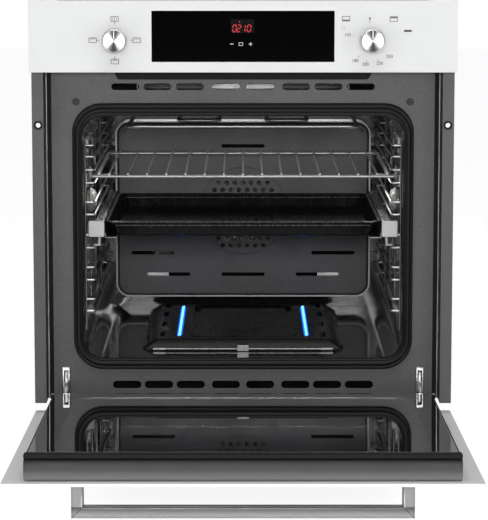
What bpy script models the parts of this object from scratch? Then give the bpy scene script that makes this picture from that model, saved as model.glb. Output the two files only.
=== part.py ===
"""A 60 cm built-in gas oven with its door open: every piece is its own object.

Lengths are in millimetres here and become metres through MM. Positions are written from
two planes of the closed oven: y = 0 is the front face of the door glass, growing into the
oven, and z = 0 is the lower edge of the door glass. The "oven" empty then moves everything
so that the row's origin is under the middle of the base plate.
"""

import math

import bmesh
import bpy
from mathutils import Matrix, Vector

MM = 0.001
GAP = 0.3  # left between pieces that touch

# Fronts
GLASS_WIDTH = 595.0
PANEL_BOTTOM, PANEL_TOP = 495.1, 595.0
PANEL_GLASS = 5.0
DOOR_GLASS_HEIGHT = 490.5
DOOR_GLASS = 4.0
DOOR_HALF = 270.0  # the door's inner box
DOOR_BACK = 38.0  # the inner glass's face towards the cavity
DOOR_STEP = 52.0  # below this the door is thin, to clear the frame
DOOR_OPEN_DEG = 88.0
HINGE_Y, HINGE_Z = 22.9, 25.5
HINGE_X = 253.5

# Body
CASING_HALF = 279.0
CASING_BACK = 560.0
BASE_Z = 22.0
CASING_TOP = 585.0
SHEET = 1.5
FRAME_Y = 45.0
FRAME_HALF = 271.0
FRAME_BOTTOM, FRAME_TOP = 28.0, 500.0

# Cavity
MOUTH_HALF = 228.5
FLOOR_Z, CEILING_Z = 82.7, 430.7
REAR_Y = 475.0
LINER = 1.2
MOUTH_RADIUS = 30.0

# Inside the cavity
RUNG_X, UPRIGHT_X = 213.0, 226.0
RACK_FRONT, RACK_REAR = 75.0, 421.0
RUNG_PAIRS = (
    (385.8, 369.5),
    (350.4, 331.7),
    (303.9, 285.9),
    (256.5, 238.0),
    (209.3, 191.0),
    (163.1, 145.9),
)
FAN_Z = 243.0
SHELF_WIRES, SHELF_PITCH = 15, 27.8
RUNNER_LOW, RUNNER_HIGH = 256.0, 278.0

# Controls
KNOB_Z = 540.0
FUNCTION_X, THERMOSTAT_X = -178.0, 179.0
KNOB_RADIUS = 17.5
KNOB_FRONT, KNOB_BACK = -24.0, -4.6

for old in list(bpy.data.objects):
    bpy.data.objects.remove(old, do_unlink=True)

scene = bpy.context.scene
pieces = bpy.data.collections.new("oven_pieces")
cutters = bpy.data.collections.new("cutters")
scene.collection.children.link(pieces)
scene.collection.children.link(cutters)
cutters.hide_render = True

oven = bpy.data.objects.new("oven", None)
pieces.objects.link(oven)
oven.location = (0, -300 * MM, -BASE_Z * MM)


def pivot(name, y, z, x=0.0, parent=oven):
    """An empty on a joint's axis; pieces hung on it move with the joint."""
    empty = bpy.data.objects.new(name, None)
    pieces.objects.link(empty)
    empty.parent = parent
    empty.location = Vector((x, y, z)) * MM
    return empty


door_pivot = pivot("door_hinge_axis", HINGE_Y, HINGE_Z)
door_pivot.rotation_euler.x = math.radians(DOOR_OPEN_DEG)
function_pivot = pivot("function_knob_axis", 0, KNOB_Z, FUNCTION_X)
thermostat_pivot = pivot("thermostat_axis", 0, KNOB_Z, THERMOSTAT_X)
fan_pivot = pivot("fan_axis", 460, FAN_Z)
cooling_pivot = pivot("cooling_fan_axis", 112, 495)
latch_pivots = {
    side: pivot(f"hinge_latch_axis_{word}", 40, 38, side * HINGE_X)
    for side, word in ((-1, "left"), (1, "right"))
}

# Every helper shape, with the shapes it is joined with or cut by.
tools_of = {}


def helper(name, mesh, at=(0, 0, 0)):
    """A mesh object in the cutters collection; node() later makes one a visible piece."""
    obj = bpy.data.objects.new(name, mesh)
    cutters.objects.link(obj)
    obj.location = Vector(at)
    obj.hide_render = True
    obj.display_type = "WIRE"
    tools_of[obj.name] = []
    return obj


def from_bmesh(name, work, at):
    bmesh.ops.remove_doubles(work, verts=work.verts, dist=1e-6)
    bmesh.ops.recalc_face_normals(work, faces=work.faces)
    mesh = bpy.data.meshes.new(name)
    work.to_mesh(mesh)
    work.free()
    return helper(name, mesh, at)


def block(x0, x1, y0, y1, z0, z1, top=None):
    """A box. top = (x0, x1, y0, y1) gives its upper face other limits, for sloping sides."""
    work = bmesh.new()
    bmesh.ops.create_cube(work, size=1.0)
    centre = Vector((x0 + x1, y0 + y1, z0 + z1)) * 0.5
    for vert in work.verts:
        limits = top if top and vert.co.z > 0 else (x0, x1, y0, y1)
        vert.co = (
            Vector(
                (
                    limits[1] if vert.co.x > 0 else limits[0],
                    limits[3] if vert.co.y > 0 else limits[2],
                    z1 if vert.co.z > 0 else z0,
                )
            )
            - centre
        ) * MM
    return from_bmesh("block", work, centre * MM)


def side_block(side, x0, x1, y0, y1, z0, z1):
    """A box given for the right-hand side, put on the side asked for."""
    if side > 0:
        return block(x0, x1, y0, y1, z0, z1)
    return block(-x1, -x0, y0, y1, z0, z1)


TURN = {
    "X": Matrix(((0, 0, 1), (1, 0, 0), (0, 1, 0))),
    "Y": Matrix(((1, 0, 0), (0, 0, -1), (0, 1, 0))),
    "Z": Matrix.Identity(3),
}


def rod(axis, at, radius, low, high, sides=16):
    """A cylinder along X, Y or Z. at holds its other two coordinates, in X, Y, Z order."""
    work = bmesh.new()
    bmesh.ops.create_cone(
        work,
        cap_ends=True,
        segments=sides,
        radius1=radius * MM,
        radius2=radius * MM,
        depth=(high - low) * MM,
    )
    bmesh.ops.transform(work, matrix=TURN[axis].to_4x4(), verts=work.verts)
    centre = list(at)
    centre.insert("XYZ".index(axis), (low + high) / 2)
    return from_bmesh("rod", work, Vector(centre) * MM)


def slab(axis, outline, low, high):
    """A closed outline extruded along an axis. Its points are the other two coordinates."""
    curve = bpy.data.curves.new("outline", "CURVE")
    curve.dimensions = "2D"
    curve.fill_mode = "BOTH"
    curve.extrude = (high - low) / 2 * MM
    spline = curve.splines.new("POLY")
    spline.points.add(len(outline) - 1)
    for point, (u, v) in zip(spline.points, outline):
        point.co = (u * MM, v * MM, 0, 1)
    spline.use_cyclic_u = True
    flat = bpy.data.objects.new("outline", curve)
    cutters.objects.link(flat)
    mesh = bpy.data.meshes.new_from_object(flat)
    bpy.data.objects.remove(flat)
    work = bmesh.new()
    work.from_mesh(mesh)
    bmesh.ops.transform(work, matrix=TURN[axis].to_4x4(), verts=work.verts)
    middle = Vector((0, 0, 0))
    middle["XYZ".index(axis)] = (low + high) / 2 * MM
    return from_bmesh("slab", work, middle)


def rounded(u0, u1, v0, v1, radius, steps=5):
    """The outline of a rectangle with round corners."""
    points = []
    corners = (
        (u1 - radius, v1 - radius, 0),
        (u0 + radius, v1 - radius, 90),
        (u0 + radius, v0 + radius, 180),
        (u1 - radius, v0 + radius, 270),
    )
    for u, v, start in corners:
        for step in range(steps + 1):
            angle = math.radians(start + 90 * step / steps)
            points.append((u + radius * math.cos(angle), v + radius * math.sin(angle)))
    return points


def bent(points, radius, steps=3):
    """The points of a wire with its corners made round."""
    path = [Vector(points[0])]
    for before, corner, after in zip(points, points[1:], points[2:]):
        corner = Vector(corner)
        back = (Vector(before) - corner).normalized()
        on = (Vector(after) - corner).normalized()
        for step in range(steps + 1):
            share = step / steps
            start, end = corner + back * radius, corner + on * radius
            path.append(
                start * (1 - share) ** 2 + corner * 2 * share * (1 - share) + end * share**2
            )
    path.append(Vector(points[-1]))
    return path


def wire(points, radius, resolution=1):
    """A round wire through the points, from a curve's bevel."""
    centre = Vector(points[0])
    curve = bpy.data.curves.new("wire", "CURVE")
    curve.dimensions = "3D"
    curve.bevel_depth = radius * MM
    curve.bevel_resolution = resolution
    curve.use_fill_caps = True
    spline = curve.splines.new("POLY")
    spline.points.add(len(points) - 1)
    for point, place in zip(spline.points, points):
        point.co = (*((Vector(place) - centre) * MM), 1)
    line = bpy.data.objects.new("wire", curve)
    cutters.objects.link(line)
    mesh = bpy.data.meshes.new_from_object(line)
    bpy.data.objects.remove(line)
    work = bmesh.new()
    work.from_mesh(mesh)
    return from_bmesh("wire", work, centre * MM)


def lathe(axis, at, profile, steps=24):
    """A profile of (radius, distance along the axis) turned about the axis through at."""
    mesh = bpy.data.meshes.new("profile")
    work = bmesh.new()
    verts = [work.verts.new((radius * MM, 0, along * MM)) for radius, along in profile]
    ring = profile[0][0] > 0 and profile[-1][0] > 0
    for first, second in zip(verts, verts[1:] + (verts[:1] if ring else [])):
        work.edges.new((first, second))
    work.to_mesh(mesh)
    work.free()
    turned = bpy.data.objects.new("profile", mesh)
    cutters.objects.link(turned)
    screw = turned.modifiers.new("turn", "SCREW")
    screw.steps = screw.render_steps = steps
    screw.use_merge_vertices = True
    screw.merge_threshold = 1e-6
    bpy.context.view_layer.update()
    graph = bpy.context.evaluated_depsgraph_get()
    mesh = bpy.data.meshes.new_from_object(turned.evaluated_get(graph))
    bpy.data.objects.remove(turned)
    work = bmesh.new()
    work.from_mesh(mesh)
    # TURN sends local +Z to -Y; the distances here are along +Y.
    if axis == "Y":
        bmesh.ops.scale(work, vec=(1, 1, -1), verts=work.verts)
    bmesh.ops.transform(work, matrix=TURN[axis].to_4x4(), verts=work.verts)
    centre = list(at)
    centre.insert("XYZ".index(axis), 0)
    return from_bmesh("lathe", work, Vector(centre) * MM)


def bundle(shapes):
    """Plain shapes that don't touch, as one helper mesh, so that one Boolean cuts them all."""
    work = bmesh.new()
    for shape in shapes:
        start = len(work.verts)
        work.from_mesh(shape.data)
        work.verts.ensure_lookup_table()
        for vert in work.verts[start:]:
            vert.co += shape.location
        bpy.data.objects.remove(shape)
    return from_bmesh("bundle", work, (0, 0, 0))


def boolean(body, operation, others):
    for other in others:
        modifier = body.modifiers.new(operation.lower(), "BOOLEAN")
        modifier.solver = "EXACT"
        modifier.operation = operation
        modifier.object = other
        tools_of[body.name].append(other)
    return body


def fuse(body, *others):
    return boolean(body, "UNION", others)


def cut(body, *others):
    return boolean(body, "DIFFERENCE", others)


def soften(body, width, segments=1, pick=None):
    """Bevels the edges for which pick(middle, direction) is true, in millimetres."""
    mesh = body.data
    weights = mesh.attributes.new("bevel_weight_edge", "FLOAT", "EDGE")
    for edge, weight in zip(mesh.edges, weights.data):
        first, second = (mesh.vertices[i].co + body.location for i in edge.vertices)
        along = (second - first).normalized()
        weight.value = 1.0 if pick is None or pick((first + second) / 2 / MM, along) else 0.0
    bevel = body.modifiers.new("round", "BEVEL")
    bevel.width = width * MM
    bevel.segments = segments
    bevel.limit_method = "WEIGHT"
    return body


PAINT = {
    "grey_paint": ((0.115, 0.118, 0.122), 0.35, 0.42),
    "black_enamel": ((0.012, 0.012, 0.014), 0.0, 0.12),
    "dark_mat": ((0.045, 0.045, 0.047), 0.1, 0.6),
    "galvanised": ((0.55, 0.56, 0.57), 0.9, 0.38),
    "chrome": ((0.82, 0.82, 0.83), 1.0, 0.08),
    "aluminium": ((0.62, 0.62, 0.63), 1.0, 0.3),
    "white_glass": ((0.86, 0.87, 0.88), 0.0, 0.06),
    "black_glass": ((0.01, 0.01, 0.012), 0.0, 0.04),
    "black_rubber": ((0.02, 0.02, 0.02), 0.0, 0.75),
    "black_plastic": ((0.03, 0.03, 0.032), 0.0, 0.45),
    "mineral_wool": ((0.72, 0.68, 0.55), 0.0, 0.95),
    "lamp_glass": ((0.9, 0.9, 0.86), 0.0, 0.1),
    "brass": ((0.7, 0.52, 0.22), 1.0, 0.35),
}


def node(name, body, paint, parent=oven):
    """Makes a helper shape a visible piece, and hangs it and its tools on its parent."""
    axis = parent.location if parent is not oven else Vector((0, 0, 0))

    def hang(obj):
        obj.parent = parent
        obj.location = obj.location - axis
        for tool in tools_of[obj.name]:
            hang(tool)

    hang(body)
    kept = tools_of.pop(body.name)
    body.name = name
    body.data.name = name
    tools_of[body.name] = kept
    cutters.objects.unlink(body)
    pieces.objects.link(body)
    body.hide_render = False
    body.display_type = "TEXTURED"
    for number, tool in enumerate(kept):
        tool.name = f"{name}_tool_{number}"
        tools_of[tool.name] = []
    color, metallic, roughness = PAINT[paint]
    material = bpy.data.materials.new(name)
    material.use_nodes = True
    shader = material.node_tree.nodes["Principled BSDF"]
    shader.inputs["Base Color"].default_value = (*color, 1)
    shader.inputs["Metallic"].default_value = metallic
    shader.inputs["Roughness"].default_value = roughness
    body.data.materials.clear()
    body.data.materials.append(material)
    return body


SIDES = ((-1, "left"), (1, "right"))


# ---------------------------------------------------------------- body and casing
def base_plate():
    plate = block(-277, 277, 50, CASING_BACK - 0.2, BASE_Z, BASE_Z + 2)
    slots = [
        block(x - 55, x + 55, y - 4, y + 4, BASE_Z - 5, BASE_Z + 8)
        for x in (-170, 170)
        for y in (160, 200, 400, 440)
    ]
    baffle = block(-246, 246, 70, 70 + SHEET, BASE_Z + 1, 60)
    node("base_plate", fuse(cut(plate, bundle(slots)), baffle), "galvanised")


def casing():
    for side, word in SIDES:
        wall = side_block(side, CASING_HALF - SHEET, CASING_HALF, 50, CASING_BACK, BASE_Z + GAP, 583.2)
        lip = side_block(side, 263, CASING_HALF - SHEET / 2, 60.5, 62, 25, 583.2)
        node(f"casing_{word}", fuse(wall, lip), "galvanised")
    node("casing_top", block(-CASING_HALF, CASING_HALF, 46, CASING_BACK, 583.5, CASING_TOP), "galvanised")
    back = block(-277, 277, CASING_BACK - SHEET, CASING_BACK, BASE_Z + 2.3, 583.2)
    vents = [
        block(x - 30, x + 30, CASING_BACK - 8, CASING_BACK + 5, z - 3, z + 3)
        for x in (-160, -80, 0, 80, 160)
        for z in (500, 525, 550)
    ]
    inlet = rod("Y", (240, 42), 12, CASING_BACK - 8, CASING_BACK + 5, 12)
    node("casing_back", cut(back, bundle([*vents, inlet])), "galvanised")


def side_trims():
    for side, word in SIDES:
        face = side_block(side, 279.8, 296.3, 20, 21.5, BASE_Z, 593)
        leg = side_block(side, 279.8, 281.3, 20.5, 60, BASE_Z, 593)
        hole = rod("Y", (side * 287.5, 419.6), 5.4, 10, 30, 12)
        node(f"side_trim_{word}", cut(fuse(face, leg), hole), "grey_paint")
        profile = ((6.2, 18.4), (6.2, 19.7), (5.0, 19.7), (5.0, 23), (3.5, 23), (3.5, 18.4))
        node(f"trim_grommet_{word}", lathe("Y", (side * 287.5, 419.6), profile, 12), "grey_paint")


def front_frame():
    plate = block(-FRAME_HALF, FRAME_HALF, FRAME_Y, FRAME_Y + SHEET, FRAME_BOTTOM, FRAME_TOP)
    left = block(-FRAME_HALF, -FRAME_HALF + SHEET, FRAME_Y + 0.5, 60.2, FRAME_BOTTOM, FRAME_TOP)
    right = block(FRAME_HALF - SHEET, FRAME_HALF, FRAME_Y + 0.5, 60.2, FRAME_BOTTOM, FRAME_TOP)
    lower = block(-270, 270, FRAME_Y + 0.5, 49.5, FRAME_BOTTOM, FRAME_BOTTOM + SHEET)
    mouth = slab("Y", rounded(-229.4, 229.4, 81.8, 431.6, 31), 30, 60)
    slots = []
    for x in (24.5, 75, 120.6, 166.3):
        for side in (-1, 1):
            for half, low, high in ((19.5, 467.2, 476.5), (20.2, 38.3, 49.2)):
                outline = rounded(side * x - half, side * x + half, low, high, (high - low) / 2 - 0.1)
                slots.append(slab("Y", outline, 40, 50))
    for side in (-1, 1):
        slots.append(block(side * HINGE_X - 5.4, side * HINGE_X + 5.4, 40, 55, 31.5, 69.8))
    notch = slab("Y", ((-177, 482), (177, 482), (187, 505), (-187, 505)), 30, 60)
    cut(fuse(plate, left, right, lower), mouth, notch, bundle(slots))
    node("front_frame", plate, "grey_paint")
    for side, word in SIDES:
        profile = ((0, 40.2), (3.2, 40.4), (4.6, 41.6), (4.9, 44.7), (0, 44.7))
        dome = lathe("Y", (side * 236, 450.4), profile[::-1], 12)
        node(f"door_bumper_{word}", dome, "black_rubber")


# ---------------------------------------------------------------- cavity
def cavity():
    def shell(grow, front, back):
        outline = rounded(
            -MOUTH_HALF - grow,
            MOUTH_HALF + grow,
            FLOOR_Z - grow,
            CEILING_Z + grow,
            MOUTH_RADIUS + grow,
        )
        tub = slab("Y", outline, front, back)
        return soften(tub, 9, 2, lambda middle, along: middle.y > back - 0.1)

    outer = shell(LINER, 46.8, REAR_Y + LINER)
    flange = slab("Y", rounded(-240, 240, 71, 442, 38), 46.8, 48.2)
    hollow = shell(0, 40, REAR_Y)
    # Pressed panels stand out of the side walls and the ceiling by 3 mm.
    panels_out = bundle(
        [
            block(-232.7, -200, 118.8, 411.2, 118.8, 391.2),
            block(200, 232.7, 118.8, 411.2, 118.8, 391.2),
            block(-171.2, 171.2, 98.8, 421.2, 400, 434.9),
        ]
    )
    panels_in = bundle(
        [
            block(-231.5, -190, 120, 410, 120, 390),
            block(190, 231.5, 120, 410, 120, 390),
            block(-170, 170, 100, 420, 390, 433.7),
        ]
    )
    burner_hole = block(-122, 122, 118, 420, 60, 100)
    holes = [rod("Y", (0, FAN_Z), 8, 465, 490, 12)]
    holes += [rod("Y", (x, 410), 5.5, 465, 490, 8) for x in (-35, 35)]
    holes += [rod("X", (215, 290), 17, x, x + 20, 12) for x in (-240, 220)]
    fuse(outer, flange, panels_out)
    cut(outer, hollow, panels_in, burner_hole, bundle(holes))
    node("cavity_liner", outer, "black_enamel")

    gasket = slab("Y", rounded(-241.5, 241.5, 67, 448.5, 42), 38.6, 44.7)
    soften(gasket, 2.5, 1, lambda middle, along: middle.y < 38.7)
    inner = slab("Y", rounded(-MOUTH_HALF, MOUTH_HALF, FLOOR_Z, CEILING_Z, MOUTH_RADIUS), 30, 60)
    node("cavity_gasket", cut(gasket, inner), "black_rubber")

    wool = block(-259, 259, 76, 520, 62, 456)
    room = block(-234, 234, 50, 480, 50, 436.5)
    ways = [
        rod("X", (215, 290), 20, -270, 270, 12),
        rod("Y", (0, FAN_Z), 40, 470, 530, 16),
        block(-50, 50, 470, 530, 398, 422),
    ]
    node("insulation_blanket", cut(wool, room, bundle(ways)), "mineral_wool")

    for side, word in SIDES:
        profile = (
            (0, 217.5), (9, 218.3), (15, 221.5), (17.8, 226.3), (19.5, 226.5),
            (19.5, 228.2), (16, 228.3), (16, 254), (0, 254),
        )
        bulb = [(radius, side * along) for radius, along in profile]
        node(f"lamp_{word}", lathe("X", (215, 290), bulb, 12), "lamp_glass")


def fan():
    cover = slab("Y", rounded(-203, 203, 104, 387, 22, 4), 441, 474.6)
    soften(cover, 5, 2, lambda middle, along: middle.y < 441.1)
    hollow = slab("Y", rounded(-201.8, 201.8, 105.2, 385.8, 20.8, 4), 442.2, 480)
    slots = [block(x - 34.5, x + 34.5, 435, 450, z - 2.8, z + 2.8)
             for x, z in ((0, 347), (-144, 175.2), (144, 175.2), (0, 140.4), (-119, 140.4), (119, 140.4))]
    pattern = []
    for row in range(-5, 6):
        count = 11 - abs(row)
        for step in range(count):
            x = (step - (count - 1) / 2) * 12.95
            pattern.append(rod("Y", (x, FAN_Z + row * 11.1), 3.9, 435, 450, 6))
    node("fan_cover", cut(cover, hollow, bundle(slots + pattern)), "dark_mat")

    disc = rod("Y", (0, FAN_Z), 78, 466, 468, 20)
    hub = rod("Y", (0, FAN_Z), 14, 452, 467, 12)
    stem = rod("Y", (0, FAN_Z), 4, 460, 497, 8)
    blades = []
    for number in range(10):
        blade = block(40, 76, 453, 466.5, -0.8, 0.8)
        turn = Matrix.Rotation(math.tau * number / 10, 4, "Y")
        blade.data.transform(turn @ Matrix.Translation(blade.location))
        blade.location = Vector((0, 0, FAN_Z)) * MM
        blades.append(blade)
    fuse(disc, hub, stem, bundle(blades))
    node("fan_wheel", disc, "galvanised", fan_pivot)

    motor = rod("Y", (0, FAN_Z), 34, 481, 540, 16)
    node("fan_motor", cut(motor, rod("Y", (0, FAN_Z), 5, 475, 505, 8)), "galvanised")


def grill():
    path = (
        (-35, 512, 410), (-35, 200, 410), (-95, 200, 410), (-95, 410, 410), (-165, 410, 410),
        (-165, 105, 410), (165, 105, 410), (165, 410, 410), (95, 410, 410), (95, 200, 410),
        (35, 200, 410), (35, 512, 410),
    )
    node("grill_element", wire(bent(path, 14, 2), 3.3), "dark_mat")


# ---------------------------------------------------------------- gas
def gas():
    leg_left = block(-104, -84, 140, 406, 62, 76)
    leg_right = block(84, 104, 140, 406, 62, 76)
    cross = block(-104, 104, 396, 412, 62, 76)
    mixer = rod("Y", (0, 69), 9, 405, 452, 10)
    fuse(leg_left, leg_right, cross, mixer)
    node("oven_burner", leg_left, "galvanised")

    inlet = (
        (240, 572, 42), (240, 545, 42), (268, 545, 42), (268, 545, 505), (268, 80, 505),
        (190, 80, 505), (190, 80, 514),
    )
    pipe = wire(bent(inlet, 7, 2), 4)
    nipple = rod("Y", (240, 42), 10.5, 552, 572, 12)
    node("gas_inlet_pipe", fuse(pipe, nipple), "brass")

    feed = (
        (168, 80, 514), (168, 80, 490), (268, 80, 490), (268, 80, 40), (150, 80, 40),
        (150, 300, 40), (150, 470, 40), (0, 470, 40), (0, 470, 69), (0, 456, 69),
    )
    node("burner_feed_pipe", wire(bent(feed, 7, 2), 3.2), "brass")


def burner_cover():
    top = block(-147, 147, 109, 437, 83.1, 96, top=(-129, 129, 120, 426))
    under = block(-145.8, 145.8, 110.2, 435.8, 80, 94.8, top=(-125.5, 125.5, 122.5, 423.5))
    slots = [block(x - 3.75, x + 3.75, 146, 401, 90, 100) for x in (-94, 94)]
    for x in (-118.5, 118.5):
        slots += [block(x - 4, x + 4, y - 20, y + 20, 90, 100) for y in (160, 245, 327, 403)]
    studs = bundle([rod("Z", (x, 396), 4.5, 95, 98.5, 8) for x in (-71, 71)])
    fuse(cut(top, under, bundle(slots)), studs)
    node("burner_plate", top, "black_enamel")

    clip = block(-8.5, 8.5, 92, 108.5, 83.1, 92.2)
    node("burner_plate_clip", cut(clip, block(-20, 20, 94, 101, 70, 88.6)), "galvanised")
    bar = rod("X", (97.5, 85.6), 2.1, -116, 116, 8)
    ends = bundle([side_block(side, 113, 131, 93.5, 101.5, 84.8, 86.4) for side in (-1, 1)])
    node("burner_plate_rod", fuse(bar, ends), "chrome")


# ---------------------------------------------------------------- racks, shelf, tray
def racks():
    for side, word in SIDES:
        uprights = [
            wire([(side * UPRIGHT_X, y, 118), (side * UPRIGHT_X, y, 392)], 2.1) for y in (RACK_FRONT, RACK_REAR)
        ]
        body, rear = uprights
        rungs = []
        for pair in RUNG_PAIRS:
            for z in pair:
                path = (
                    (side * UPRIGHT_X, RACK_FRONT, z),
                    (side * RUNG_X, RACK_FRONT, z),
                    (side * RUNG_X, RACK_REAR, z),
                    (side * UPRIGHT_X, RACK_REAR, z),
                )
                rungs.append(wire(bent(path, 4, 2), 1.6))
        node(f"rack_{word}", fuse(body, rear, bundle(rungs)), "chrome")


def shelf():
    z, half, front, back = 336.4, 214.0, 116.0, 430.0
    path = ((-half, front, z), (-half, back, z), (half, back, z), (half, front, z))
    frame = wire(bent(path, 12), 2.6)
    bar = wire([(-219, front, z), (219, front, z)], 2.6)
    wires = []
    for number in range(SHELF_WIRES):
        x = (number - (SHELF_WIRES - 1) / 2) * SHELF_PITCH
        wires.append(wire([(x, front - 3, z + 3.1), (x, back + 2, z + 3.1)], 1.5))
    node("wire_shelf", fuse(frame, bar, bundle(wires)), "chrome")


def runners():
    for side, word in SIDES:
        rail = side_block(side, 205.2, 211, 79, 424, RUNNER_LOW, RUNNER_HIGH)
        groove = side_block(side, 200, 209.8, 70, 430, RUNNER_LOW + 1.2, RUNNER_HIGH - 1.2)
        hook = side_block(side, 205.2, 208.3, 79, 87, 240, RUNNER_LOW + 1)
        heel = side_block(side, 205.2, 214, 79, 87, 240, 243)
        node(f"runner_rail_{word}", cut(fuse(rail, hook, heel), groove), "galvanised")

        middle = side_block(side, 206.4, 209.4, 80, 420, RUNNER_LOW + 2, RUNNER_HIGH - 2)
        node(f"runner_slide_{word}", middle, "galvanised")

        bar = side_block(side, 199.2, 204.8, 70, 422, RUNNER_LOW + 0.5, RUNNER_HIGH - 0.5)
        cap = side_block(side, 198.2, 221.3, 62, 72, 254.9, 278.3)
        soften(cap, 2, 2)
        web = side_block(side, 199.2, 200.4, 105, 420, 247.6, RUNNER_LOW + 2)
        ledge = side_block(side, 184, 200, 105, 420, 247.6, 249)
        node(f"runner_carriage_{word}", fuse(cap, bar, web, ledge), "aluminium")


def tray():
    bowl = block(-186, 186, 107, 421, 249.4, 272.5, top=(-196.6, 196.6, 101, 427))
    soften(bowl, 10, 2, lambda middle, along: abs(along.z) > 0.6)
    room = block(-184.4, 184.4, 108.6, 419.4, 250.8, 275, top=(-196, 196, 101.8, 426.2))
    soften(room, 9, 2, lambda middle, along: abs(along.z) > 0.6)
    rim = slab("Z", rounded(-198.6, 198.6, 98.6, 429.4, 12, 3), 270.6, 273)
    node("baking_tray", cut(fuse(bowl, rim), room), "black_enamel")


# ---------------------------------------------------------------- controls
def controls():
    glass = block(-GLASS_WIDTH / 2, GLASS_WIDTH / 2, 0, PANEL_GLASS, PANEL_BOTTOM, PANEL_TOP)
    soften(glass, 0.6)
    ways = [rod("Y", (x, KNOB_Z), 5, -5, 10, 12) for x in (FUNCTION_X, THERMOSTAT_X)]
    ways.append(block(223.4, 234.2, -5, 10, 551.6, 554.2))
    node("control_panel_glass", cut(glass, bundle(ways)), "white_glass")
    node("pilot_lamp_lens", block(223.8, 233.8, 0.1, 12, 551.9, 553.9), "black_plastic")

    tray_back = block(-277.8, 277.8, 5.3, 40, 498, 592)
    room = block(-276.3, 276.3, 6.8, 50, 499.5, 590.5)
    ways = [rod("Y", (x, KNOB_Z), 6, 0, 12, 12) for x in (FUNCTION_X, THERMOSTAT_X)]
    ways.append(block(-30, 30, 0, 12, 530, 576))
    ways.append(block(220, 238, 0, 14, 548, 558))
    node("panel_bracket", cut(tray_back, room, bundle(ways)), "galvanised")

    module = block(-48, 48, 7.1, 38, 524, 582)
    node("timer_module", fuse(module, block(-29.6, 29.6, 5.4, 8, 530.4, 575.6)), "black_plastic")

    stem_hole = rod("Y", (FUNCTION_X, KNOB_Z), 3.6, 0, 24, 12)
    node("function_switch", cut(block(-198, -158, 7.1, 36, 520, 560), stem_hole), "black_plastic")
    plug_hole = rod("Y", (THERMOSTAT_X, KNOB_Z), 3.6, 0, 34, 12)
    body = block(157, 201, 7.1, 52, 518, 562)
    feet = block(160, 198, 50, 94, 515, 530)
    pipes = bundle([rod("Z", (x, 80), 5, 505, 521, 8) for x in (168, 190)])
    node("thermostat_body", cut(fuse(body, feet), plug_hole, pipes), "aluminium")

    profile = (
        (0, KNOB_FRONT), (15.9, KNOB_FRONT), (16.7, KNOB_FRONT + 0.9), (KNOB_RADIUS, KNOB_BACK - 3),
        (KNOB_RADIUS, KNOB_BACK), (0, KNOB_BACK),
    )
    for x, name, parent in (
        (FUNCTION_X, "function_knob", function_pivot),
        (THERMOSTAT_X, "temperature_knob", thermostat_pivot),
    ):
        knob = lathe("Y", (x, KNOB_Z), profile, 24)
        pointer = block(x - 0.8, x + 0.8, KNOB_FRONT - 3, KNOB_FRONT + 0.5, KNOB_Z + 2, KNOB_Z + 14)
        if name == "function_knob":
            fuse(knob, rod("Y", (x, KNOB_Z), 3, -10, 22, 8))
        else:
            cut(knob, rod("Y", (x, KNOB_Z), 3.6, -18, 5, 12))
        node(name, cut(knob, pointer), "aluminium", parent)
    node("thermostat_shaft", rod("Y", (THERMOSTAT_X, KNOB_Z), 3, -12, 32, 8), "aluminium", thermostat_pivot)


def cooling_fan():
    duct = block(-150, 150, 49, 150, 460, 528)
    room = block(-148.5, 148.5, 40, 148.5, 461.5, 526.5)
    ways = [block(-115, 115, 92, 132, 515, 540), rod("X", (112, 495), 5, -160, 160, 10)]
    node("cooling_fan_housing", cut(duct, room, bundle(ways)), "galvanised")
    points = []
    for number in range(28):
        radius = 24 if number % 2 else 19
        angle = math.tau * number / 28
        points.append((112 + radius * math.cos(angle), 495 + radius * math.sin(angle)))
    rotor = slab("X", points, -120, 120)
    node("cooling_fan_rotor", fuse(rotor, rod("X", (112, 495), 4, -152, 175, 8)), "galvanised", cooling_pivot)
    motor = rod("X", (112, 495), 26, 153, 196, 12)
    node("cooling_fan_motor", cut(motor, rod("X", (112, 495), 5, 145, 180, 10)), "galvanised")


# ---------------------------------------------------------------- hinges and door
def hinges():
    for side, word in SIDES:
        x = HINGE_X
        cheeks = side_block(side, x - 4.7, x + 4.7, 43, 72, 33.5, 69)
        inside = side_block(side, x - 3.3, x + 3.3, 40, 70, 30, 75)
        outline = (
            (HINGE_Y - 5, HINGE_Z - 3), (HINGE_Y, HINGE_Z - 6), (HINGE_Y + 4, HINGE_Z - 5),
            (46, 35), (71, 35), (71, 62), (47, 62), (45, 47), (HINGE_Y + 1, HINGE_Z + 6),
            (HINGE_Y - 4, HINGE_Z + 4.5),
        )
        low, high = sorted((side * (x - 1.5), side * (x + 1.5)))
        arm = slab("X", outline, low, high)
        pin = rod("X", (HINGE_Y, HINGE_Z), 2.5, *sorted((side * (x - 6.8), side * (x + 6.8))), 12)
        latch_pin = rod("X", (40, 38), 1.4, *sorted((side * (x - 3.1), side * (x + 3.1))), 8)
        bridge = side_block(side, x - 4.7, x + 4.7, 43, 46, 65, 69)
        cut(cheeks, inside)
        fuse(cheeks, bridge, arm, pin, latch_pin)
        node(f"hinge_arm_{word}", cheeks, "galvanised")

        cheek = side_block(side, x - 2.9, x + 2.9, 36.6, 43.4, 34.6, 48.6)
        middle = side_block(side, x - 1.9, x + 1.9, 30, 50, 30, 47.2)
        bore = rod("X", (40, 38), 1.8, *sorted((side * (x - 9), side * (x + 9))), 8)
        node(f"hinge_latch_{word}", cut(cheek, middle, bore), "galvanised", latch_pivots[side])


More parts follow.
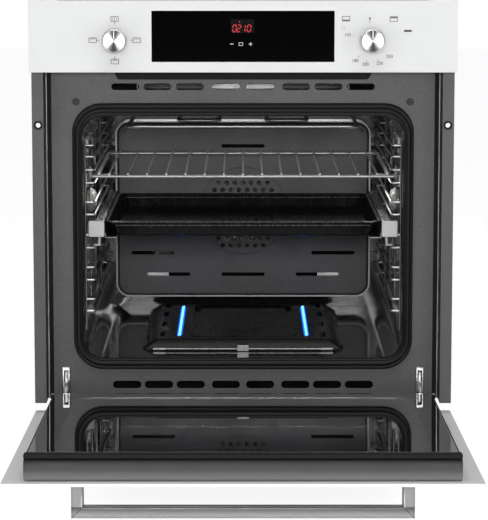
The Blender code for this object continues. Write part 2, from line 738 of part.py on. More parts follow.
def door():
    glass = block(-GLASS_WIDTH / 2, GLASS_WIDTH / 2, 0, DOOR_GLASS, 0, DOOR_GLASS_HEIGHT)
    node("door_outer_glass", soften(glass, 0.6), "white_glass", door_pivot)

    inner = block(-265.8, 265.8, DOOR_BACK - 4.8, DOOR_BACK, DOOR_STEP, 462.7)
    node("door_inner_glass", soften(inner, 0.6), "black_glass", door_pivot)

    head = block(-DOOR_HALF, DOOR_HALF, 4.3, DOOR_BACK, 463, 480.5)
    soften(head, 1.2, 1, lambda middle, along: abs(along.x) > 0.9 and middle.z > 480)
    under = block(-268.5, 268.5, 5.8, DOOR_BACK - 1.5, 455, 479)
    node("door_top_profile", cut(head, under), "grey_paint", door_pivot)

    for side, word in SIDES:
        channel = side_block(side, 254, DOOR_HALF, 4.3, 32.9, 53, 462.7)
        room = side_block(side, 245, DOOR_HALF - SHEET, 5.8, 31.4, 40, 470)
        node(f"door_side_{word}", cut(channel, room), "grey_paint", door_pivot)

    foot = block(-268, 268, 4.3, 20, 8, 51.5)
    shelf_plate = block(-DOOR_HALF, DOOR_HALF, 4.3, 32.9, 50.5, 52.7)
    room = block(-266.5, 266.5, 5.8, 18.5, 0, 50)
    ears, ways, bores = [], [], []
    for side in (-1, 1):
        ears.append(side_block(side, 246.9, 248.9, 17, 29, 19.5, 31.5))
        ears.append(side_block(side, 258.1, 260.1, 17, 29, 19.5, 31.5))
        ways.append(side_block(side, 249.3, 257.7, 10, 24, 5, 49))
        bores.append(rod("X", (HINGE_Y, HINGE_Z), 3, *sorted((side * 240, side * 265)), 12))
    fuse(foot, shelf_plate)
    cut(foot, room, bundle(ways))
    fuse(foot, bundle(ears))
    node("door_bottom_bracket", cut(foot, bundle(bores)), "grey_paint", door_pivot)

    grip = block(-214, 214, -48.7, -GAP, 438, 452)
    space = block(-198, 198, -33, 20, 430, 460)
    cut(grip, space)
    edge = grip.modifiers.new("round", "BEVEL")
    edge.width = 2.6 * MM
    edge.segments = 2
    edge.limit_method = "ANGLE"
    edge.angle_limit = math.radians(40)
    node("door_handle", grip, "aluminium", door_pivot)


base_plate()
casing()
side_trims()
front_frame()
cavity()
fan()
grill()
gas()
burner_cover()
racks()
shelf()
runners()
tray()
controls()
cooling_fan()
hinges()
door()
bpy.context.view_layer.update()
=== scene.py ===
"""Looks for the built-in gas oven: materials, detailed pieces, camera and light.

Lengths are in millimetres and positions use the same two planes as the CAD source: y = 0 is
the front face of the glass, growing into the oven, and z = 0 is the lower edge of the closed
door's glass. at() turns them into the row frame, in metres.
"""

import math

import bmesh
import bpy
from mathutils import Matrix, Vector


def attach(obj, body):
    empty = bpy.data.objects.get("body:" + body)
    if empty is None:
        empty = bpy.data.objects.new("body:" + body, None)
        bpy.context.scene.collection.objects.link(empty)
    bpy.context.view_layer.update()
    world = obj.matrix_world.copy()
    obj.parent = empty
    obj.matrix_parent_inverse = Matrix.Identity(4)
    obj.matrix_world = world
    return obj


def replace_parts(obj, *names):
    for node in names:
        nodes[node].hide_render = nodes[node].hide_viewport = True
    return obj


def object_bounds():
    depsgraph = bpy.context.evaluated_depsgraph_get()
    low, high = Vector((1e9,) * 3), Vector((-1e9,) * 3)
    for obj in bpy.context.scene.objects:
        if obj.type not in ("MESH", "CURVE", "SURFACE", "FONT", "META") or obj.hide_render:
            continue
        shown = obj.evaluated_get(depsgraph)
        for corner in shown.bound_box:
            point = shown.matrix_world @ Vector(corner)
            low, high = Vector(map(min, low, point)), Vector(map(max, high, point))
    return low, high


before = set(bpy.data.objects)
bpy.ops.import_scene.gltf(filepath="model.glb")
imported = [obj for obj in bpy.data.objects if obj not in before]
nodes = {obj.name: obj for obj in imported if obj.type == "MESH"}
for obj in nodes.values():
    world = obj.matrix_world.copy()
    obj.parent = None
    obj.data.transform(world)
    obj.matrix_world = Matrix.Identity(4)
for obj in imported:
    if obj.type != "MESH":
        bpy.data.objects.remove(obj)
cad_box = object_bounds()

MM = 0.001
FRONT_Y, BASE_Z = 300.0, 22.0
HINGE_Y, HINGE_Z, OPEN_DEG = 22.9, 25.5, 88.0
SIDES = ((-1, "left"), (1, "right"))

# millimetres, in the two planes above
KNOB_Z = 540.0
KNOBS = ((-178, "function_knob"), (179, "temperature_knob"))
PRINT_Y, KEY_Y, LIT_Y = (-0.22, -0.02), (-0.3, -0.13), (-0.3, -0.12)  # ink, keys and digits on the panel
HINGE_X = 253.5
FRAME_HALF, FRAME_LOW, FRAME_HIGH = 271.0, 28.0, 500.0
FRAME_Y = 45.0
CASING_HALF, CASING_BACK = 279.0, 560.0
FAN_Z = 243.0
BURNER_LEG_X = 94.0
RACK_X = 226.0
RACK_ENDS_Y = (75.0, 421.0)
RUNG_PAIRS = ((385.8, 369.5), (350.4, 331.7), (303.9, 285.9), (256.5, 238.0), (209.3, 191.0), (163.1, 145.9))
DOOR_HALF = 270.0  # the door's inner box


def at(x, y, z):
    return Vector((x, y - FRONT_Y, z - BASE_Z)) * MM


PIVOT = Matrix.Translation(at(0, HINGE_Y, HINGE_Z))
DOOR = PIVOT @ Matrix.Rotation(math.radians(OPEN_DEG), 4, "X") @ PIVOT.inverted()


def added(name, data):
    """A new object in the scene."""
    obj = bpy.data.objects.new(name, data)
    bpy.context.scene.collection.objects.link(obj)
    return obj


# ---------------------------------------------------------------- materials
class Paint:
    """A Principled material with a few node helpers. Patterns use object coordinates."""

    def __init__(self, name, color, metallic=0.0, roughness=0.5, **sockets):
        self.material = bpy.data.materials.new(name)
        self.material.use_nodes = True
        self.tree = self.material.node_tree
        self.shader = self.tree.nodes["Principled BSDF"]
        self.shader.inputs["Base Color"].default_value = (*color, 1)
        self.shader.inputs["Metallic"].default_value = metallic
        self.shader.inputs["Roughness"].default_value = roughness
        for socket, value in sockets.items():
            self.shader.inputs[socket.replace("_", " ")].default_value = value
        self.place = self.add("ShaderNodeTexCoord").outputs["Object"]
        self.height = None

    def add(self, kind, **settings):
        node = self.tree.nodes.new(kind)
        for key, value in settings.items():
            setattr(node, key, value)
        return node

    def link(self, source, target):
        self.tree.links.new(source, target)
        return self

    def calc(self, operation, *values):
        """A Math node's result. A value is a socket or a float."""
        node = self.add("ShaderNodeMath", operation=operation)
        for value, socket in zip(values, node.inputs):
            if isinstance(value, float):
                socket.default_value = value
            else:
                self.link(value, socket)
        return node.outputs[0]

    def spread(self, source, start, end, low, high):
        """Maps start..end of a value to low..high."""
        node = self.add("ShaderNodeMapRange")
        for socket, value in (("From Min", start), ("From Max", end), ("To Min", low), ("To Max", high)):
            node.inputs[socket].default_value = value
        self.link(source, node.inputs["Value"])
        return node.outputs["Result"]

    def noise(self, scale, detail=3.0, roughness=0.55, stretch=None):
        node = self.add("ShaderNodeTexNoise")
        node.inputs["Scale"].default_value = scale
        node.inputs["Detail"].default_value = detail
        node.inputs["Roughness"].default_value = roughness
        source = self.place
        if stretch:
            mapping = self.add("ShaderNodeMapping")
            mapping.inputs["Scale"].default_value = stretch
            self.link(source, mapping.inputs["Vector"])
            source = mapping.outputs["Vector"]
        self.link(source, node.inputs["Vector"])
        return node.outputs["Fac"]

    def cells(self, scale):
        node = self.add("ShaderNodeTexVoronoi")
        node.inputs["Scale"].default_value = scale
        self.link(self.place, node.inputs["Vector"])
        return node.outputs

    def ramp(self, source, stops):
        node = self.add("ShaderNodeValToRGB")
        elements = node.color_ramp.elements
        while len(elements) < len(stops):
            elements.new(0.5)
        for element, (place, color) in zip(elements, stops):
            element.position = place
            element.color = (*color, 1) if len(color) == 3 else color
        self.link(source, node.inputs["Fac"])
        return node.outputs["Color"]

    def color_by(self, source, stops):
        return self.link(self.ramp(source, stops), self.shader.inputs["Base Color"])

    def rough_by(self, source, low, high):
        return self.link(self.spread(source, 0.3, 0.7, low, high), self.shader.inputs["Roughness"])

    def along(self, axis):
        """The object coordinate along an axis, in metres."""
        node = self.add("ShaderNodeSeparateXYZ")
        self.link(self.place, node.inputs["Vector"])
        return node.outputs[axis]

    def split_at(self, axis, edge_mm, near, far):
        """One colour on the near side of a plane across an axis and another beyond it."""
        beyond = self.calc("GREATER_THAN", self.along(axis), edge_mm * MM)
        return self.color_by(beyond, [(0.0, near), (1.0, far)])

    def rising(self, low_mm, high_mm, grain, share):
        """0 at one height and 1 at another, with a share of a noise added."""
        height = self.spread(self.along("Z"), (low_mm - BASE_Z) * MM, (high_mm - BASE_Z) * MM, 0, 1)
        return self.calc("MULTIPLY_ADD", grain, share, height)

    def bump(self, source, strength, distance_mm):
        node = self.add("ShaderNodeBump")
        node.inputs["Strength"].default_value = strength
        node.inputs["Distance"].default_value = distance_mm * MM
        self.link(source, node.inputs["Height"])
        if self.height is not None:
            self.link(self.height, node.inputs["Normal"])
        self.height = node.outputs["Normal"]
        return self.link(self.height, self.shader.inputs["Normal"])


def grey(v):
    return (v, v * 1.005, v * 1.015)


def painted_paint(name, base, rough=0.42, spread=0.12, grain=0.35, scale=900):
    paint = Paint(name, grey(base), 0.0, rough)
    fine = paint.noise(scale, 4, 0.7)
    wide = paint.noise(14, 2)
    paint.color_by(fine, [(0.3, grey(base * (1 - spread))), (0.7, grey(base * (1 + spread)))])
    paint.rough_by(wide, rough - 0.05, rough + 0.06)
    paint.bump(fine, grain, 0.25)
    return paint


def painted(*args):
    return painted_paint(*args).material


def handle_paint():
    """Brushed along the bar, with painted shade that darkens its colour towards its upper edge."""
    paint = Paint("brushed_aluminium", grey(0.34), 1.0, 0.36)
    lines = paint.noise(900, 4, 0.6, (0.02, 1, 1))
    stops = [(0.07, grey(0.46)), (0.35, grey(0.38)), (0.7, grey(0.2)), (0.97, grey(0.1)), (1.0, grey(0.34))]
    paint.color_by(paint.rising(-31, -15, lines, 0.14), stops)
    paint.rough_by(lines, 0.27, 0.47)
    paint.bump(lines, 0.12, 0.05)
    return paint.material


def two_sides(paint, axis, edge_mm, near, far):
    paint.split_at(axis, edge_mm, near, far)
    return paint.material


def enamel(name, base, rough, flecks=True, wave=45, shine=0.5):
    paint = Paint(name, grey(base), 0.0, rough, Coat_Weight=0.7 * shine, Coat_Roughness=0.06,
                  Specular_IOR_Level=shine)
    wavy = paint.noise(wave, 2)
    paint.rough_by(paint.noise(160, 3), rough * 0.7, rough * 1.5)
    paint.bump(wavy, 0.3, 22.0 / wave)
    if flecks:
        cells = paint.cells(420)
        paint.color_by(cells["Distance"], [(0.0, grey(base * 6)), (0.10, grey(base * 1.4)), (0.4, grey(base))])
    return paint.material


def speckled(name):
    paint = Paint(name, grey(0.11), 0.0, 0.42)
    fine = paint.noise(1500, 3, 0.75)
    paint.color_by(fine, [(0.38, grey(0.085)), (0.55, grey(0.12)), (0.66, grey(0.2))])
    paint.rough_by(paint.noise(30), 0.42, 0.58)
    paint.bump(fine, 0.4, 0.2)
    return paint.material


def metal(name, base, rough, stretch=None, tint=(1, 1, 1), wear=0.12, scale=500):
    color = tuple(base * t for t in tint)
    paint = Paint(name, color, 1.0, rough)
    lines = paint.noise(scale, 4, 0.6, stretch)
    low = tuple(c * (1 - wear) for c in color)
    high = tuple(min(1.0, c * (1 + wear * 0.6)) for c in color)
    paint.color_by(lines, [(0.3, low), (0.7, high)])
    paint.rough_by(lines, rough * 0.75, rough * 1.3)
    paint.bump(lines, 0.12, 0.05)
    return paint.material


def shelf_paint():
    """Chrome worn dull by use."""
    paint = Paint("shelf_wire", grey(0.5), 0.7, 0.36)
    fine = paint.noise(500, 4, 0.6)
    paint.color_by(fine, [(0.3, grey(0.42)), (0.7, grey(0.52))])
    return paint.rough_by(fine, 0.32, 0.42).material


def zinc_paint(name, base=0.42, rough=0.42):
    paint = Paint(name, grey(base), 0.9, rough)
    split = paint.add("ShaderNodeSeparateColor")
    paint.link(paint.cells(110)["Color"], split.inputs["Color"])
    spangle = split.outputs["Red"]
    paint.color_by(spangle, [(0.0, grey(base * 0.8)), (1.0, grey(base * 1.15))])
    paint.rough_by(spangle, rough - 0.08, rough + 0.1)
    return paint


def zinc(*args):
    return zinc_paint(*args).material


def rubber(name, base=0.004, rough=0.5):
    paint = Paint(name, grey(base), 0.0, rough, Specular_IOR_Level=0.28)
    fine = paint.noise(700, 3)
    paint.color_by(fine, [(0.3, grey(base * 0.7)), (0.75, grey(base * 1.8))])
    paint.bump(fine, 0.2, 0.15)
    return paint.material


def gloss(name, color, rough=0.05, waviness=0.02, **sockets):
    paint = Paint(name, color, 0.0, rough, **sockets)
    paint.rough_by(paint.noise(60, 3), rough * 0.8, rough * 1.4)
    paint.bump(paint.noise(6, 1), waviness, 1.0)
    return paint.material


def mirror_glass(name, color, **sockets):
    """Flat glass, with faint smears that only its roughness shows."""
    paint = Paint(name, color, sockets.pop("Metallic", 0.0), 0.01, **sockets)
    return paint.rough_by(paint.noise(9, 4), 0.006, 0.03).material


def glowing(name, color, strength, base=(0, 0, 0)):
    paint = Paint(name, base, 0.0, 0.4)
    paint.shader.inputs["Emission Color"].default_value = (*color, 1)
    paint.shader.inputs["Emission Strength"].default_value = strength
    return paint.material


def turned(name, base=0.72, rough=0.26):
    """Metal with rings cut round the local Y axis, as a lathe leaves them."""
    paint = Paint(name, grey(base), 1.0, rough, Anisotropic=0.85)
    tangent = paint.add("ShaderNodeTangent", direction_type="RADIAL", axis="Y")
    paint.link(tangent.outputs["Tangent"], paint.shader.inputs["Tangent"])
    return paint


def head_paint():
    """The door head's textured finish, with painted light and shade: a little lighter towards its lower edge and
    darker towards its top.
    """
    paint = painted_paint("door_paint", 0.07, 0.5, 0.16, 0.6)
    fine = paint.noise(900, 4, 0.7)
    stops = [(0.12, grey(0.25)), (0.31, grey(0.18)), (0.6, grey(0.06)), (0.95, grey(0.01))]
    return paint.color_by(paint.rising(22, 52, fine, 0.22), stops).material


def bead_paint():
    """A pressed edge painted near white, a painted highlight along the fan cover's rim."""
    paint = Paint("bead_painted_highlight", grey(0.9), 0.0, 0.35)
    fine = paint.noise(300, 3)
    paint.color_by(fine, [(0.3, grey(0.84)), (0.7, grey(0.95))])
    return paint.rough_by(fine, 0.28, 0.42).material


def rotor_metal():
    """A bright hub that fades to a dark blade finish towards both ends."""
    paint = Paint("rotor_metal", grey(0.5), 0.9, 0.35)
    from_middle = paint.calc("ABSOLUTE", paint.along("X"))
    stops = [(0.0, grey(0.7)), (0.044, grey(0.62)), (0.05, grey(0.09)), (1.0, grey(0.05))]
    return paint.color_by(from_middle, stops).material


PAINTS = {
    "frame_paint": painted("frame_paint", 0.088, 0.5, 0.2, 0.5, 430),
    # trim_paint: the trims' legs beyond this plane are near black, painted shade for the gap beside the trims
    "trim_paint": two_sides(painted_paint("trim_paint", 0.08), "Y", 22.2 - FRONT_Y, grey(0.078), grey(0.004)),
    "door_paint": head_paint(),
    "enamel": enamel("cavity_enamel", 0.012, 0.11, wave=13),
    "tray_enamel": enamel("tray_enamel", 0.004, 0.14, False),
    "plate_enamel": enamel("plate_enamel", 0.008, 0.2, True, 45, 0.06),
    "speckled": speckled("fan_cover_enamel"),
    "rim_enamel": enamel("rim_enamel", 0.012, 0.4, False, 45, 0.2),
    "side_enamel": painted("side_enamel", 0.3, 0.35, 0.1, 0.2),
    "shelf": shelf_paint(),
    "clip": metal("clip_steel", 0.26, 0.4, (1, 1, 9), wear=0.3, scale=220),
    "chrome": metal("chrome_wire", 0.66, 0.3, wear=0.06),
    # post: a darker copy of the rack chrome, painted shade on the rack's posts
    "post": metal("rack_post", 0.14, 0.35, wear=0.1),
    "bead": bead_paint(),
    "tray_rim": metal("tray_rim", 0.22, 0.26, wear=0.1),
    "satin": metal("satin_aluminium", 0.42, 0.4, (1, 1, 9), wear=0.08, scale=160),
    "knob_side": metal("knob_side", 0.62, 0.3, (1, 9, 1), wear=0.08, scale=160),
    "brushed": handle_paint(),
    "runner": metal("runner_steel", 0.34, 0.28, (1, 0.05, 1), wear=0.15, scale=700),
    "zinc": zinc("galvanised"),
    "bright_zinc": zinc("bright_zinc", 0.62, 0.3),
    "dark_zinc": zinc("dark_zinc", 0.06, 0.5),
    "rotor": rotor_metal(),
    # base_zinc: the base plate in front of this plane is near black, painted shade seen through the lower slots
    "base_zinc": two_sides(zinc_paint("base_zinc"), "Y", 80 - FRONT_Y, grey(0.006), grey(0.4)),
    "wheel": zinc("wheel_zinc", 0.08, 0.35),
    "rod": metal("rod_steel", 0.3, 0.3, wear=0.15),
    "rubber": rubber("gasket_rubber"),
    "bumper": rubber("bumper_rubber", 0.035, 0.6),
    "white": gloss("white_glass", (0.76, 0.765, 0.77), 0.08, 0.0, Coat_Weight=0.4),
    "door_white": gloss("door_white_glass", (0.9, 0.905, 0.91), 0.08, 0.0, Coat_Weight=0.4),
    "display": gloss("display_black", (0.001, 0.001, 0.001), 0.06, 0.0, Specular_IOR_Level=0.05),
    "window": gloss("display_window", (0.006, 0.006, 0.006), 0.15, 0.0, Specular_IOR_Level=0.05),
    "outer_window": gloss("outer_window_black", (0.005, 0.005, 0.006), 0.06, 0.0, Specular_IOR_Level=0.3),
    "mirror": mirror_glass("door_black_glass", (0.006, 0.006, 0.007), IOR=2.0,
                           Coat_Weight=1.0, Coat_IOR=1.8, Coat_Roughness=0.01),
    "clear": mirror_glass("door_clear_glass", (0.98, 0.99, 0.99), IOR=1.5, Transmission_Weight=1.0,
                          Coat_Weight=1.0, Coat_IOR=1.75, Coat_Roughness=0.0),
    "silvered": mirror_glass("door_middle_glass", (0.5, 0.505, 0.51), Metallic=1.0),
    "plastic_black": gloss("end_cap_black", (0.004, 0.004, 0.004), 0.35, 0.02),
    "plastic": gloss("black_plastic", (0.02, 0.02, 0.021), 0.4, 0.02),
    "brass": metal("brass", 0.8, 0.3, tint=(1, 0.78, 0.42), wear=0.15),
    "wool": painted("mineral_wool", 0.55, 0.95, 0.25, 1.0),
    "lamp": gloss("lamp_glass", (0.8, 0.8, 0.76), 0.12, 0.05, Transmission_Weight=0.6),
    "print": painted("grey_print", 0.05, 0.5, 0.05, 0.0),
    "key_print": painted("key_print", 0.62, 0.5, 0.05, 0.0),
    "pointer": gloss("pointer_white", (0.85, 0.85, 0.85), 0.4, 0.0),
    "dark": rubber("dark_gap", 0.006, 0.7),
    "red": glowing("display_red", (0.9, 0.01, 0.02), 0.75),
    "flame": glowing("flame_blue", (0.004, 0.10, 1.0), 2.2),
    "flame_core": glowing("flame_core", (0.16, 0.55, 1.0), 2.6),
}


# ---------------------------------------------------------------- pieces
pieces = []


def flatten_normals():
    """Keeps the shading of large flat faces flat where small rounded edges meet them."""
    for obj in pieces:
        weighted = obj.modifiers.new("normals", "WEIGHTED_NORMAL")
        weighted.keep_sharp = True
        weighted.weight = 100


def piece(name, mesh, paint, body, door=False, smooth=35):
    """Makes an object of a mesh already in the row frame, in place, riding on a CAD body."""
    if door:
        mesh.transform(DOOR)
    obj = added(name, mesh)
    pieces.append(obj)
    mesh.materials.clear()
    mesh.materials.append(PAINTS[paint])
    if smooth:
        mesh.polygons.foreach_set("use_smooth", [True] * len(mesh.polygons))
        mesh.set_sharp_from_angle(angle=math.radians(smooth))
    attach(obj, body)
    return obj


def walled(obj, thickness_mm, offset=-1):
    """Gives an open skin its thickness."""
    thick = obj.modifiers.new("closed", "SOLIDIFY")
    thick.thickness = thickness_mm * MM
    thick.offset = offset
    return obj


def mesh_of(work, weld=1e-6):
    bmesh.ops.remove_doubles(work, verts=work.verts, dist=weld)
    bmesh.ops.recalc_face_normals(work, faces=work.faces)
    mesh = bpy.data.meshes.new("mesh")
    work.to_mesh(mesh)
    work.free()
    return mesh


def mesh_from(curve):
    temp = added("curve", curve)
    mesh = bpy.data.meshes.new_from_object(temp)
    bpy.data.objects.remove(temp)
    return mesh


def from_curve(curve):
    work = bmesh.new()
    work.from_mesh(mesh_from(curve))
    return work


TURN = {
    "X": Matrix(((0, 0, 1), (1, 0, 0), (0, 1, 0))).to_4x4(),
    "Y": Matrix(((1, 0, 0), (0, 0, 1), (0, 1, 0))).to_4x4(),
    "Z": Matrix.Identity(4),
}


def plate(outlines, axis, low, high, edge=0.0, steps=2):
    """A flat plate across an axis with the later outlines as holes and its edges rounded."""
    curve = bpy.data.curves.new("plate", "CURVE")
    curve.dimensions = "2D"
    curve.fill_mode = "BOTH"
    curve.extrude = ((high - low) / 2 - edge) * MM
    curve.bevel_depth = edge * MM
    curve.bevel_resolution = steps
    curve.offset = -edge * MM
    for outline in outlines:
        spline = curve.splines.new("POLY")
        spline.points.add(len(outline) - 1)
        for point, (u, v) in zip(spline.points, outline):
            point.co = (u * MM, v * MM, 0, 1)
        spline.use_cyclic_u = True
    work = from_curve(curve)
    bmesh.ops.transform(work, matrix=TURN[axis], verts=work.verts)
    middle = [0, 0, 0]
    middle["XYZ".index(axis)] = (low + high) / 2
    bmesh.ops.translate(work, vec=at(*middle), verts=work.verts)
    return mesh_of(work)


def arc(u, v, radius, start, end, steps):
    turns = [math.radians(start + (end - start) * i / steps) for i in range(steps + 1)]
    return [(u + radius * math.cos(a), v + radius * math.sin(a)) for a in turns]


def rounded(u0, u1, v0, v1, radius, steps=8):
    return (
        arc(u1 - radius, v1 - radius, radius, 0, 90, steps)
        + arc(u0 + radius, v1 - radius, radius, 90, 180, steps)
        + arc(u0 + radius, v0 + radius, radius, 180, 270, steps)
        + arc(u1 - radius, v0 + radius, radius, 270, 360, steps)
    )


def circle(u, v, radius, steps=20):
    return arc(u, v, radius, 0, 360, steps)[:-1]


def stadium(u, v, width, height, steps=8):
    return rounded(u - width / 2, u + width / 2, v - height / 2, v + height / 2, height / 2 - 0.01, steps)


def loft(rings, caps=(True, True)):
    """Skins rings of the same number of points, given in millimetres."""
    work = bmesh.new()
    rows = [[work.verts.new(at(*p)) for p in ring] for ring in rings]
    for first, second in zip(rows, rows[1:]):
        for i in range(len(first)):
            j = (i + 1) % len(first)
            work.faces.new((first[i], first[j], second[j], second[i]))
    if caps[0]:
        work.faces.new(rows[0][::-1])
    if caps[1]:
        work.faces.new(rows[-1])
    return mesh_of(work)


def ring_y(outline, y):
    return [(u, y, v) for u, v in outline]


def ring_z(outline, z):
    return [(u, v, z) for u, v in outline]


def bent(points, radius, steps=5):
    """A path with each corner turned into a curve."""
    path = [Vector(points[0])]
    for before, corner, after in zip(points, points[1:], points[2:]):
        corner = Vector(corner)
        back = (Vector(before) - corner).normalized()
        on = (Vector(after) - corner).normalized()
        start, end = corner + back * radius, corner + on * radius
        for step in range(steps + 1):
            t = step / steps
            path.append(start * (1 - t) ** 2 + corner * 2 * t * (1 - t) + end * t * t)
    path.append(Vector(points[-1]))
    return path


def wires(name, paths, paint, body, sides=3, door=False):
    """Round wires as one mesh. paths holds (points, radius)."""
    curve = bpy.data.curves.new(name, "CURVE")
    curve.dimensions = "3D"
    curve.bevel_depth = MM
    curve.bevel_resolution = sides
    curve.use_fill_caps = True
    for points, radius in paths:
        spline = curve.splines.new("POLY")
        spline.points.add(len(points) - 1)
        for point, place in zip(spline.points, points):
            point.co = (*at(*place), 1)
            point.radius = radius
    return piece(name, mesh_of(from_curve(curve)), paint, body, door)


def spun(profile, x, z, steps=64):
    """A profile of (radius, y) turned about a line along Y."""
    work = bmesh.new()
    rows = []
    for radius, y in profile:
        if radius == 0:
            rows.append([work.verts.new(at(x, y, z))])
            continue
        row = []
        for i in range(steps):
            a = math.tau * i / steps
            row.append(work.verts.new(at(x + radius * math.sin(a), y, z + radius * math.cos(a))))
        rows.append(row)
    for first, second in zip(rows, rows[1:]):
        for i in range(steps):
            j = (i + 1) % steps
            a, b = first[i % len(first)], first[j % len(first)]
            c, d = second[j % len(second)], second[i % len(second)]
            corners = []
            for vert in (a, b, c, d):
                if vert not in corners:
                    corners.append(vert)
            work.faces.new(corners)
    return mesh_of(work)


def boxes(limits, edge=0.3, steps=2):
    """Boxes with rounded edges, as one mesh."""
    work = bmesh.new()
    for x0, x1, y0, y1, z0, z1 in limits:
        cube = bmesh.ops.create_cube(work, size=1.0)
        centre = at((x0 + x1) / 2, (y0 + y1) / 2, (z0 + z1) / 2)
        for vert in cube["verts"]:
            vert.co.x = centre.x + vert.co.x * (x1 - x0) * MM
            vert.co.y = centre.y + vert.co.y * (y1 - y0) * MM
            vert.co.z = centre.z + vert.co.z * (z1 - z0) * MM
    if edge:
        bmesh.ops.bevel(
            work, geom=work.edges[:], offset=edge * MM, segments=steps, profile=0.5,
            affect="EDGES", clamp_overlap=True,
        )
    return mesh_of(work)


def mirrored(side, x0, x1, *rest):
    """Limits of a box on one side of the middle plane."""
    low, high = sorted((side * x0, side * x1))
    return (low, high, *rest)


def dress(names, paint, edge=0.4):
    """A CAD node that stays: welded, its flat faces joined, its edges slightly rounded."""
    for name in names:
        obj = nodes[name]
        obj.data.materials.clear()
        obj.data.materials.append(PAINTS[paint])
        obj.data.polygons.foreach_set("use_smooth", [True] * len(obj.data.polygons))
        obj.data.set_sharp_from_angle(angle=math.radians(40))
        weld = obj.modifiers.new("weld", "WELD")
        weld.merge_threshold = 1e-6
        flat = obj.modifiers.new("flat", "DECIMATE")
        flat.decimate_type = "DISSOLVE"
        flat.angle_limit = math.radians(0.5)
        if edge:
            bevel = obj.modifiers.new("edge", "BEVEL")
            bevel.width = edge * MM
            bevel.segments = 2
            bevel.limit_method = "ANGLE"
            bevel.angle_limit = math.radians(35)
        weighted = obj.modifiers.new("normals", "WEIGHTED_NORMAL")
        weighted.weight = 100


# ---------------------------------------------------------------- camera, light and floor
def studio():
    camera = added("camera", bpy.data.cameras.new("camera"))
    camera.location = at(0, -3156.3, 719.5)
    camera.rotation_euler = (math.radians(90 - 7.346), 0, 0)
    camera.data.lens = 157.34
    camera.data.shift_x, camera.data.shift_y = 0.0019, -0.11
    camera.data.clip_end = 50
    bpy.context.scene.camera = camera
    bpy.context.scene.view_settings.view_transform = "Standard"

    # A white cyclorama to look at, with a dimmer room round it for the metal to mirror.
    world = bpy.data.worlds.new("studio")
    world.use_nodes = True
    tree = world.node_tree
    room = tree.nodes["Background"]
    room.inputs["Strength"].default_value = 0.28
    white = tree.nodes.new("ShaderNodeBackground")
    white.inputs["Strength"].default_value = 1.0
    seen = tree.nodes.new("ShaderNodeLightPath")
    mix = tree.nodes.new("ShaderNodeMixShader")
    room.inputs["Color"].default_value = white.inputs["Color"].default_value = (1, 1, 1, 1)
    tree.links.new(seen.outputs["Is Camera Ray"], mix.inputs["Fac"])
    tree.links.new(room.outputs["Background"], mix.inputs[1])
    tree.links.new(white.outputs["Background"], mix.inputs[2])
    tree.links.new(mix.outputs["Shader"], tree.nodes["World Output"].inputs["Surface"])
    bpy.context.scene.world = world

    work = bmesh.new()
    bmesh.ops.create_grid(work, x_segments=1, y_segments=1, size=9)
    floor = added("floor", mesh_of(work))
    floor.location.z = cad_box[0].z - 0.004
    paint = Paint("floor_paint", (0.9, 0.9, 0.9), 0.0, 0.6, Specular_IOR_Level=0.1)
    paint.color_by(paint.noise(4), [(0.3, (0.89, 0.89, 0.89)), (0.7, (0.91, 0.91, 0.91))])
    paint.shader.inputs["Emission Color"].default_value = (1, 1, 1, 1)
    paint.shader.inputs["Emission Strength"].default_value = 0.3
    glow = paint.add("ShaderNodeEmission")
    glow.inputs["Strength"].default_value = 1.12
    blend = paint.add("ShaderNodeMixShader")
    seen = paint.add("ShaderNodeLightPath").outputs["Is Camera Ray"]
    paint.link(paint.calc("MULTIPLY", seen, 0.72), blend.inputs["Fac"])
    paint.link(paint.shader.outputs["BSDF"], blend.inputs[1])
    paint.link(glow.outputs["Emission"], blend.inputs[2])
    paint.link(blend.outputs["Shader"], paint.tree.nodes["Material Output"].inputs["Surface"])
    floor.data.materials.append(paint.material)

    def softbox(name, place, target, size, power, in_mirrors=True):
        light = bpy.data.lights.new(name, "AREA")
        light.shape = "RECTANGLE"
        light.size, light.size_y = size
        light.energy = power
        lamp = added(name, light)
        lamp.location = place
        lamp.visible_glossy = in_mirrors
        lamp.visible_camera = False
        lamp.rotation_euler = (Vector(target) - Vector(place)).to_track_quat("-Z", "Y").to_euler()

    softbox("key", (0.0, -1.4, 3.1), (0, -0.2, 0.25), (2.6, 0.9), 40)
    softbox("front", (0.0, -3.6, 0.95), (0, 0, 0.25), (1.6, 0.4), 31)
    softbox("left", (-2.3, -2.2, 0.8), (0, -0.2, 0.3), (0.5, 1.8), 11, False)
    softbox("right", (2.3, -2.2, 0.8), (0, -0.2, 0.3), (0.5, 1.8), 11, False)
    softbox("ceiling", at(0, 215, 428), at(0, 215, 0), (0.3, 0.16), 0.25, False)
    softbox("rear", at(0, 458, 427), at(0, 458, 0), (0.36, 0.014), 0.25, False)
    for side, word in SIDES:
        bulb = bpy.data.lights.new(f"cavity_{word}", "POINT")
        bulb.energy = 0.07
        bulb.shadow_soft_size = 0.012
        lamp = added(f"cavity_{word}", bulb)
        lamp.location = at(side * 192, 215, 318)


# ---------------------------------------------------------------- control panel
def seven_segments(x, z, height, digit):
    """The lit bars of one digit, as boxes just in front of the glass."""
    on = {"0": "abcdef", "1": "bc", "2": "abged"}[digit]
    width, bar, lean = height * 0.5, height * 0.13, 0.12
    half = height / 2
    spots = {
        "a": (0, half, True), "g": (0, 0, True), "d": (0, -half, True),
        "f": (-width / 2, half / 2, False), "b": (width / 2, half / 2, False),
        "e": (-width / 2, -half / 2, False), "c": (width / 2, -half / 2, False),
    }
    found = []
    for segment in on:
        u, v, flat = spots[segment]
        long = (width if flat else half) - bar * 1.1
        across, up = (long, bar) if flat else (bar, long)
        u += x + v * lean
        found.append((u - across / 2, u + across / 2, *LIT_Y, z + v - up / 2, z + v + up / 2))
    return found


